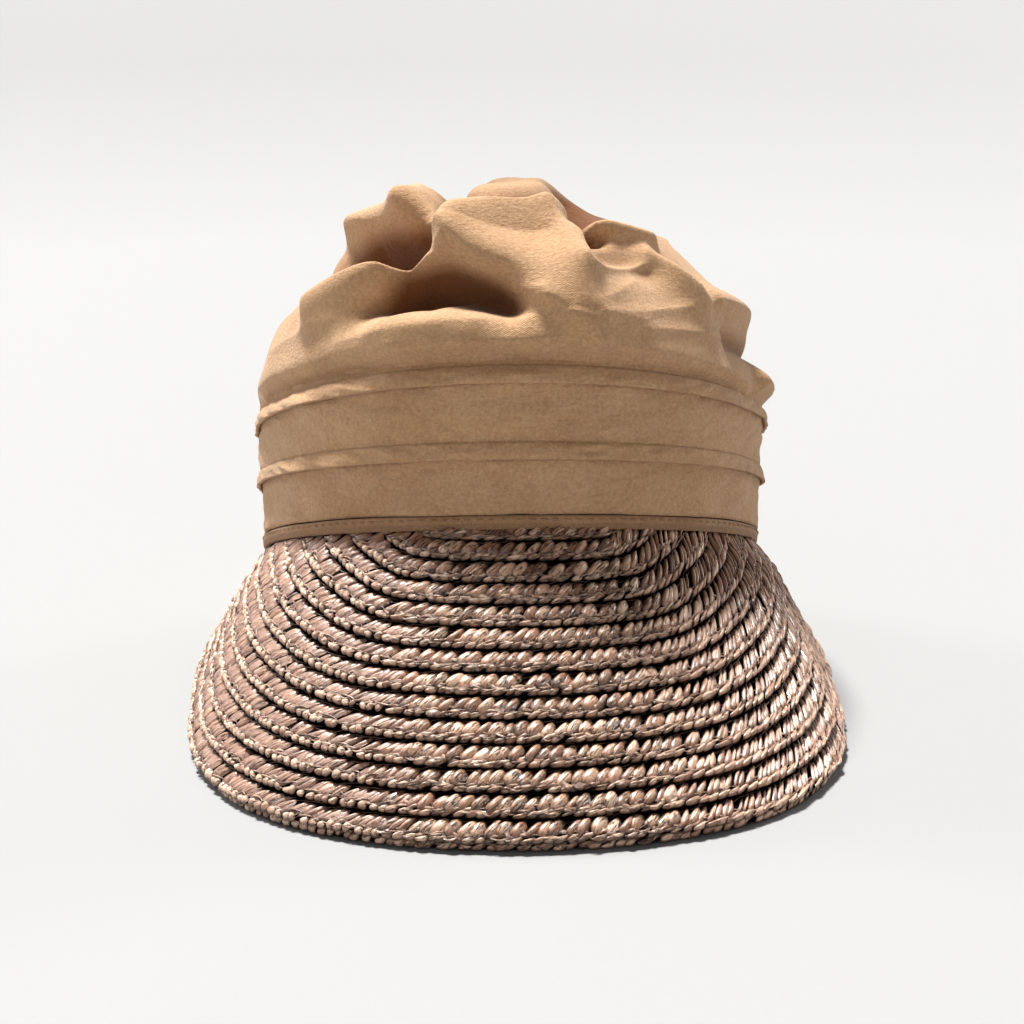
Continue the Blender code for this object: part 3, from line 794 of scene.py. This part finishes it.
class Brim:
    # smooth middle surface of the brim: lines from hem to edge with a slight swell between
    def __init__(self):
        end = math.radians(brimSizes["endAngle"])
        self.angles = np.linspace(-end, end, 473)
        across = np.linspace(0.0, 1.0, 91)
        out = outwardAt(self.angles)
        hem = hemPlace(self.angles) - out * brimSizes["seat"]
        hem[:, 2] -= wall["bindingDrop"]
        edge = edgePlace(self.angles)
        line = edge - hem
        length = np.linalg.norm(line, axis=1)
        swell = (4 * across * (1 - across))[None, :] * (brimSizes["swell"] * length / length.max())[:, None]
        self.points = hem[:, None] + across[None, :, None] * line[:, None] + swell[..., None] * out[:, None]
        self.inland = np.linalg.norm(nearestOnRun(self.points, edge)[0], axis=-1)
        normals = np.cross(np.gradient(self.points, axis=0), -np.gradient(self.points, axis=1))
        self.normals = unitVectors(normals)
        self.normals[[0, 1, -2, -1]] = self.normals[[2, 2, -3, -3]]
        self.depth = self.inland[:, 0]

    def lineAt(self, column, inland):
        # places and directions at distances inland from the edge, along one column of the scan
        known = self.inland[column, ::-1]
        place = [np.interp(inland, known, self.points[column, ::-1, i]) for i in range(3)]
        normal = [np.interp(inland, known, self.normals[column, ::-1, i]) for i in range(3)]
        return np.stack(place, axis=-1), unitVectors(np.stack(normal, axis=-1))


brim = Brim()
print("brim scanned")


class Strip:
    # one row's own sheet: places and directions on a grid, even steps along and across; near the
    # hem its width is the room left there, so that the row ends under the binding
    def __init__(self, lower, width, lapped, step=0.0008, acrossCount=9):
        size = brimSizes
        lift = size["wall"] + 3 * clearance if lapped else 0.0
        ends = np.flatnonzero(brim.depth > lower + size["leastDepth"])
        columns = np.arange(ends[0], ends[-1] + 1)
        share = np.linspace(0.0, 1.0, acrossCount)
        places, directions = [], []
        for column in columns:
            depth = brim.depth[column]
            room = depth - clearance - lower
            widest = width * (1.0 + size["wider"] * (1.0 - softStep(*size["wideRoom"], room)))
            inland = lower + share * min(room * width / size["fullRoom"], widest)
            place, normal = brim.lineAt(column, inland)
            fade = softStep(0.0, size["hemFade"], depth - inland)
            slope = 1.0 - (inland - lower) / width
            places.append(place + normal * (lift * fade * slope)[:, None])
            directions.append(normal)
        places, directions = np.array(places), np.array(directions)
        run = np.linalg.norm(np.diff(places[:, acrossCount // 2], axis=0), axis=1)
        length = np.concatenate([[0.0], np.cumsum(run)])
        count = max(8, int(length[-1] / step))
        even = np.linspace(0.0, length[-1], count)
        low = np.clip(np.searchsorted(length, even) - 1, 0, len(length) - 2)
        t = ((even - length[low]) / (length[low + 1] - length[low]))[:, None, None]
        self.places = places[low] * (1 - t) + places[low + 1] * t
        self.directions = unitVectors(directions[low] * (1 - t) + directions[low + 1] * t)
        self.length = length[-1]
        self.width = width
        self.middle = np.interp(0.0, brim.angles[columns], length)

    def at(self, along, across, above):
        # along and across in metres, above in metres over the sheet; all arrays of one shape
        a = np.clip(along / self.length, 0.0, 1.0) * (len(self.places) - 1)
        b = np.clip(across / self.width, 0.0, 1.0) * (self.places.shape[1] - 1)
        i = np.clip(a.astype(int), 0, len(self.places) - 2)
        j = np.clip(b.astype(int), 0, self.places.shape[1] - 2)
        s, t = (a - i)[..., None], (b - j)[..., None]

        def blend(grid):
            near = grid[i, j] * (1 - t) + grid[i, j + 1] * t
            far = grid[i + 1, j] * (1 - t) + grid[i + 1, j + 1] * t
            return near * (1 - s) + far * s

        return blend(self.places) + blend(self.directions) * above[..., None]


# Lobes of the plait, sizes in metres. The spreads are shares of a lobe's own size.
plaitLook = {
    "firstShift": 0.0040,
    "shadowCore": 0.0007,
    "coreStep": 0.002,
    "scanStep": 0.0005,
    "startSpread": 0.11,
    "sizeSpreads": (0.10, 0.15, 0.22),
    "twistSpread": 0.13,
    "toneSpread": 0.24,
    "arch": 0.00020,
    "leftFade": (0.022, 0.050),
    "rightFade": (0.026, 0.060),
}

# Each column of lobes has its slope, width and place across the row, 0 at the lower edge. Towards
# the visor's left and right they get shorter, thinner, flatter and closer by the shares given, and on
# the left their tone shifts by a share as painted shading, mostly darker.
lobeKeys = ("start", "end", "along", "half", "bulge", "tilt", "pitch",
            "shift", "base", "low", "loose", "power", "grid")
sideKeys = ("leftShort", "leftThin", "leftFlat", "leftTight", "leftPaintedShading",
            "rightShort", "rightThin", "rightFlat", "rightTight")
lobeTable = [
    # upper lobes
    ((0.0013, 0.0066, 0.0046, 0.00225, 0.00170, 0.00075, 0.0035, 0.0000, 0.00010, 0.48, 0.00032, 2.7, (12, 7)),
     (-0.30, 0.42, 0.50, 0.42, -0.52, 0.10, 0.38, 0.30, 0.38)),
    # strands over their feet
    ((0.0034, 0.0018, 0.0042, 0.00060, 0.00055, 0.00010, 0.0048, 0.0009, 0.00085, 0.30, 0.00070, 2.2, (9, 5)),
     (0.00, 0.65, 0.75, 0.00, -0.17, 0.00, 0.50, 0.50, 0.00)),
    # strands across the middle
    ((0.0016, 0.0027, 0.0050, 0.00065, 0.00060, 0.00015, 0.0037, 0.0020, 0.00085, 0.70, 0.00060, 2.0, (9, 5)),
     (0.00, 0.50, 0.50, 0.00, -0.17, 0.00, 0.50, 0.50, 0.00)),
    # beads of the rim
    ((0.0003, 0.0018, 0.0046, 0.00080, 0.00085, 0.00035, 0.0031, 0.0026, 0.00030, 0.72, 0.00030, 2.4, (10, 6)),
     (0.42, -0.42, -0.10, 0.12, 0.10, -0.15, -0.45, -0.30, -0.08)),
    # small strands
    ((0.0010, 0.0014, 0.0036, 0.00045, 0.00045, 0.00010, 0.0053, 0.0014, 0.00095, 0.45, 0.00060, 2.2, (9, 5)),
     (0.30, 0.70, 0.70, 0.00, -0.17, 0.30, 0.60, 0.60, 0.00)),
    # thread along the rim
    ((0.0022, 0.0026, 0.0062, 0.00024, 0.00028, 0.00000, 0.0112, 0.0010, 0.00125, 0.62, 0.00060, 3.0, (9, 4)),
     (0.00, 0.00, 0.00, 0.00, -0.17, 0.00, 0.80, 0.50, 0.00)),
    # stray straws
    ((0.0060, 0.0073, 0.0085, 0.00020, 0.00022, 0.00000, 0.0050, 0.0032, 0.00045, 0.00, 0.00080, 4.0, (8, 4)),
     (0.00, 0.30, 0.00, 0.00, -0.17, 0.00, 0.00, 0.00, 0.00)),
]
lobeColumns = [dict(zip(lobeKeys + sideKeys, main + side)) for main, side in lobeTable]


def lobesOf(strip, column, random, first):
    # every lobe of one column as a bulged patch: along its own line a from 0 to 1, across it b
    # from -1 to 1; its half width is half times the bell (1 - |2a^0.85 - 1|^power)^0.60, and its
    # height bulge times that bell times the roof (1 - |c|^1.9)^0.70, c = 0.985 (b - 0.3 (1 - b^2))
    pitch = column["pitch"]
    step = plaitLook["scanStep"]
    scan = np.arange(-pitch, strip.length + column["along"], step)
    tightness = 1 - column["leftTight"] * softStep(*plaitLook["leftFade"], strip.middle - scan)
    tightness = tightness - column["rightTight"] * softStep(*plaitLook["rightFade"], scan - strip.middle)
    passed = np.concatenate([[0.0], np.cumsum(step / (pitch * tightness[1:]))])
    count = int(passed[-1])
    start = np.interp(np.arange(count), passed, scan) + column["shift"] + first
    start = start + random.normal(0.0, plaitLook["startSpread"] * pitch, count)
    leftness = softStep(*plaitLook["leftFade"], strip.middle - start)[:, None, None]
    rightness = softStep(*plaitLook["rightFade"], start - strip.middle)[:, None, None]
    stepsLong, stepsWide = column["grid"]
    a = np.linspace(0.0, 1.0, stepsLong)[None, :, None]
    b = np.linspace(-1.0, 1.0, stepsWide)[None, None, :]
    spreads = plaitLook["sizeSpreads"]
    long, wide, high = [1 + random.normal(0.0, spread, count)[:, None, None] for spread in spreads]
    flatter = 1 - column["leftFlat"] * leftness - column["rightFlat"] * rightness
    long = long * (1 - column["leftShort"] * leftness - column["rightShort"] * rightness)
    wide = wide * (1 - column["leftThin"] * leftness - column["rightThin"] * rightness)
    high = high * flatter
    tilt = column["tilt"] * flatter
    skew = random.normal(0.0, column["loose"], count)[:, None, None]
    slant = random.normal(0.0, column["loose"], count)[:, None, None]
    twist = random.normal(0.0, plaitLook["twistSpread"] * column["half"], count)[:, None, None]
    alongMiddle = start[:, None, None] + column["along"] * long * (a**0.9)
    acrossMiddle = column["start"] + (column["end"] - column["start"]) * a + skew * np.sin(math.pi * a)
    acrossMiddle = acrossMiddle + slant * (a - 0.5)
    slopeAlong, slopeAcross = column["along"], column["end"] - column["start"]
    size = math.hypot(slopeAlong, slopeAcross)
    sideAlong, sideAcross = -slopeAcross / size, slopeAlong / size
    bell = np.maximum(1 - np.abs(2 * a**0.85 - 1)**column["power"], 0.0)**0.60
    half = column["half"] * wide * bell
    along = alongMiddle + sideAlong * b * half
    across = acrossMiddle + sideAcross * b * half
    crest = b - 0.30 * (1 - b**2)
    roof = np.maximum(1 - np.abs(crest * 0.985)**1.9, 0.0)**0.70
    above = column["base"] + column["bulge"] * high * bell * roof
    above = above + (tilt + twist) * b * math.copysign(1.0, sideAlong) * -1.0
    above = above + plaitLook["arch"] * np.sin(math.pi * a)
    # painted shade: the lobe's bell and roof, highest in its middle; it darkens the lobe towards its edges
    paintedLobeShade = np.clip(bell * roof, 0.0, 1.0)
    over = np.clip(-across, 0.0, 0.002)
    shape = np.broadcast_shapes(along.shape, across.shape, above.shape)
    along, across, above = [np.broadcast_to(grid, shape) for grid in (along, across, above - over)]
    inside = (alongMiddle[:, 0, 0] > -0.001) & (alongMiddle[:, -1, 0] < strip.length + 0.001)
    points = strip.at(along[inside], across[inside], above[inside])
    number = int(inside.sum())
    # painted shading: tone shifted on the visor's left, mostly darker, and a little paler on its right
    side = (column["leftPaintedShading"] * leftness + 0.04 * rightness)[inside, 0, 0]
    tone = np.clip(random.normal(column["low"], plaitLook["toneSpread"], number) + side, 0.02, 0.98)
    worn = random.uniform(0.0, 1.0, number) + (0.5 * leftness + 0.9 * rightness)[inside, 0, 0]
    seedU = random.uniform(0.0, 50.0, (number, 1, 1))
    u = np.broadcast_to(seedU + a * 3.0, points.shape[:-1])
    v = np.broadcast_to(seedU + b * 1.0, points.shape[:-1])
    ones = np.ones(points.shape[:-1])
    patch = stepsLong * stepsWide
    faces = [gridFaces(stepsLong, stepsWide, offset=i * patch) for i in range(number)]
    faces = np.concatenate(faces)
    if slopeAlong * sideAcross - slopeAcross * sideAlong < 0:
        faces = faces[:, ::-1]
    return {
        "points": points.reshape(-1, 3),
        "faces": faces,
        "tone": (ones * tone[:, None, None]).ravel(),
        "worn": (ones * worn[:, None, None]).ravel(),
        "paintedLobeShade": (ones * paintedLobeShade).ravel(),
        # the way along the lobe, used as a painted highlight towards its upper end
        "rise": (ones * a).ravel(),
        "uv": np.stack([u, v], axis=-1).reshape(-1, 2),
    }


def coreOf(strip):
    # thin closed strip under the lobes, coloured near black as painted shadow: a flat section of ten places,
    # drawn along the row
    acrossPlaces = np.array([0.0005, 0.0020, 0.0040, 0.0058, strip.width - 0.0002])
    top = np.array([0.5, 1.0, 1.0, 0.6, 0.5]) * plaitLook["shadowCore"]
    across = np.concatenate([acrossPlaces, acrossPlaces[::-1]])
    above = np.concatenate([top, np.full(5, 0.0)])
    along = np.linspace(0.0, strip.length, max(6, int(strip.length / plaitLook["coreStep"])))
    shape = (len(along), 10)
    points = strip.at(np.broadcast_to(along[:, None], shape), np.broadcast_to(across, shape),
                      np.broadcast_to(above, shape))
    faces = gridFaces(shape[0], 10, closedB=True)
    caps = [tuple(range(9, -1, -1)), tuple((shape[0] - 1) * 10 + k for k in range(10))]
    return points.reshape(-1, 3), faces, caps


def makePlait(name, strip, seed, node):
    # one row: its core strip, near black as painted shadow, then the lobes of every column, joined into one
    # mesh
    random = np.random.RandomState(seed)
    first = random.uniform(0.0, plaitLook["firstShift"])
    parts = [lobesOf(strip, column, random, first) for column in lobeColumns]
    corePoints, coreFaces, caps = coreOf(strip)
    vertices, faces, uv = [corePoints], [coreFaces], []
    floats = {key: [np.zeros(len(corePoints))] for key in ("tone", "worn", "paintedLobeShade", "rise")}
    uv.append(np.zeros((len(corePoints), 2)))
    total = len(corePoints)
    for part in parts:
        vertices.append(part["points"])
        faces.append(part["faces"] + total)
        for key in floats:
            floats[key].append(part[key])
        uv.append(part["uv"])
        total += len(part["points"])
    coreCount = len(coreFaces)
    plait = addMesh(name, np.concatenate(vertices), np.concatenate(faces), strawMaterial,
                    floats={key: np.concatenate(values) for key, values in floats.items()},
                    uv=np.concatenate(uv), extra=caps)
    plait.data.materials.append(shadowCoreMaterial)
    slots = np.zeros(len(plait.data.polygons), dtype=np.int32)
    slots[:coreCount] = 1
    slots[-2:] = 1
    plait.data.polygons.foreach_set("material_index", slots)
    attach(plait, "root")
    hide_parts(node)


def makeBrim():
    size = brimSizes
    for number in range(1, size["rows"] + 1):
        strip = Strip((number - 1) * size["pitch"], size["pitch"] + size["overlap"], True)
        makePlait(f"strawRow{number:02d}", strip, 40 + number, f"braid_row_{number:02d}")
    # lower than the outermost row and a little past it
    under = Strip(0.0, size["underWidth"], False)
    under.places = under.places - under.directions * size["underDrop"]
    level = unitVectors(under.directions * np.array([1.0, 1.0, 0.0]))
    reach = np.linspace(size["underReach"], 0.0, under.places.shape[1])
    under.places = under.places + level * reach[None, :, None]
    under.places[..., 2] = np.maximum(under.places[..., 2], size["leastHeight"])
    makePlait("strawUnderlay", under, 99, "edge_underlay")


makeBrim()
print("brim made")


# ---- floor, light and camera
stageLook = {"bendAt": 1.3, "bendRadius": 1.5, "slope": 26.0, "slopeLength": 5.0, "steps": 96}


def makeFloorSheet():
    # level floor that bends up all round into a gentle slope: a profile turned about the upright
    look = stageLook
    bend = np.radians(np.linspace(0.0, look["slope"], 17))
    radius = np.append([0.2, 0.6], look["bendAt"] + look["bendRadius"] * np.sin(bend))
    height = np.append([0.0, 0.0], look["bendRadius"] * (1 - np.cos(bend)))
    radius = np.append(radius, radius[-1] + look["slopeLength"] * math.cos(bend[-1]))
    height = np.append(height, height[-1] + look["slopeLength"] * math.sin(bend[-1]))
    around = outwardAt(np.linspace(0.0, 2 * math.pi, look["steps"], endpoint=False))
    points = around[:, None] * radius[None, :, None]
    points[..., 2] += height[None, :]
    count = len(radius)
    centre = look["steps"] * count
    fan = [(i * count, ((i + 1) % look["steps"]) * count, centre) for i in range(look["steps"])]
    vertices = np.concatenate([points.reshape(-1, 3), [[0.0, 0.0, 0.0]]])
    faces = gridFaces(look["steps"], count, closedA=True)[:, ::-1]
    sheet = addMesh("floorSheet", vertices, faces, makeFloor(), extra=fan)


def turnTowards(thing, direction):
    yaw = math.atan2(direction[0], -direction[1])
    pitch = math.acos(-direction[2] / np.linalg.norm(direction))
    thing.rotation_euler = (pitch, 0.0, yaw + math.pi)


def addSun(name, source, angle, strength, colour):
    # source is the direction that the light comes from
    data = bpy.data.lights.new(name, "SUN")
    data.angle = math.radians(angle)
    data.energy = strength
    data.color = colour
    lamp = bpy.data.objects.new(name, data)
    turnTowards(lamp, -np.array(source))
    bpy.context.scene.collection.objects.link(lamp)


def makeWorld():
    world = bpy.data.worlds.new("paleRoom")
    world.use_nodes = True
    background = world.node_tree.nodes["Background"]
    background.inputs["Color"].default_value = (0.97, 0.98, 1.0, 1.0)
    background.inputs["Strength"].default_value = 0.10
    bpy.context.scene.world = world
    bpy.context.scene.view_settings.view_transform = "Standard"
    bpy.context.scene.view_settings.look = "Medium High Contrast"


cameraLook = {
    "elevation": 14.4,
    "azimuth": 1.8,
    "distance": 0.659,
    "aimX": 0.0006,
    "aimRise": 0.0516,
    "lens": 68.55,
}


def makeCamera():
    look = cameraLook
    rise, turn = math.radians(look["elevation"]), math.radians(look["azimuth"])
    forward = np.array([math.sin(turn) * math.cos(rise), math.cos(turn) * math.cos(rise), -math.sin(rise)])
    aim = np.array([look["aimX"], hemMiddleY, look["aimRise"]])
    data = bpy.data.cameras.new("photoCamera")
    data.lens = look["lens"]
    data.sensor_width = 36.0
    camera = bpy.data.objects.new("photoCamera", data)
    camera.location = aim - forward * look["distance"]
    camera.rotation_euler = (math.pi / 2 - rise, 0.0, -turn)
    bpy.context.scene.collection.objects.link(camera)
    bpy.context.scene.camera = camera


makeFloorSheet()
makeWorld()
addSun("keySun", (-0.17, 0.30, 0.94), 12.0, 6.2, (1.0, 0.975, 0.940))
addSun("leftSun", (-0.78, 0.42, 0.46), 20.0, 0.8, (1.0, 0.980, 0.950))
addSun("rimSun", (0.75, 0.50, 0.45), 20.0, 0.6, (1.0, 0.980, 0.950))
addSun("fillSun", (-0.28, -0.84, 0.45), 55.0, 0.44, (1.0, 0.980, 0.960))
makeCamera()
print("stage made")
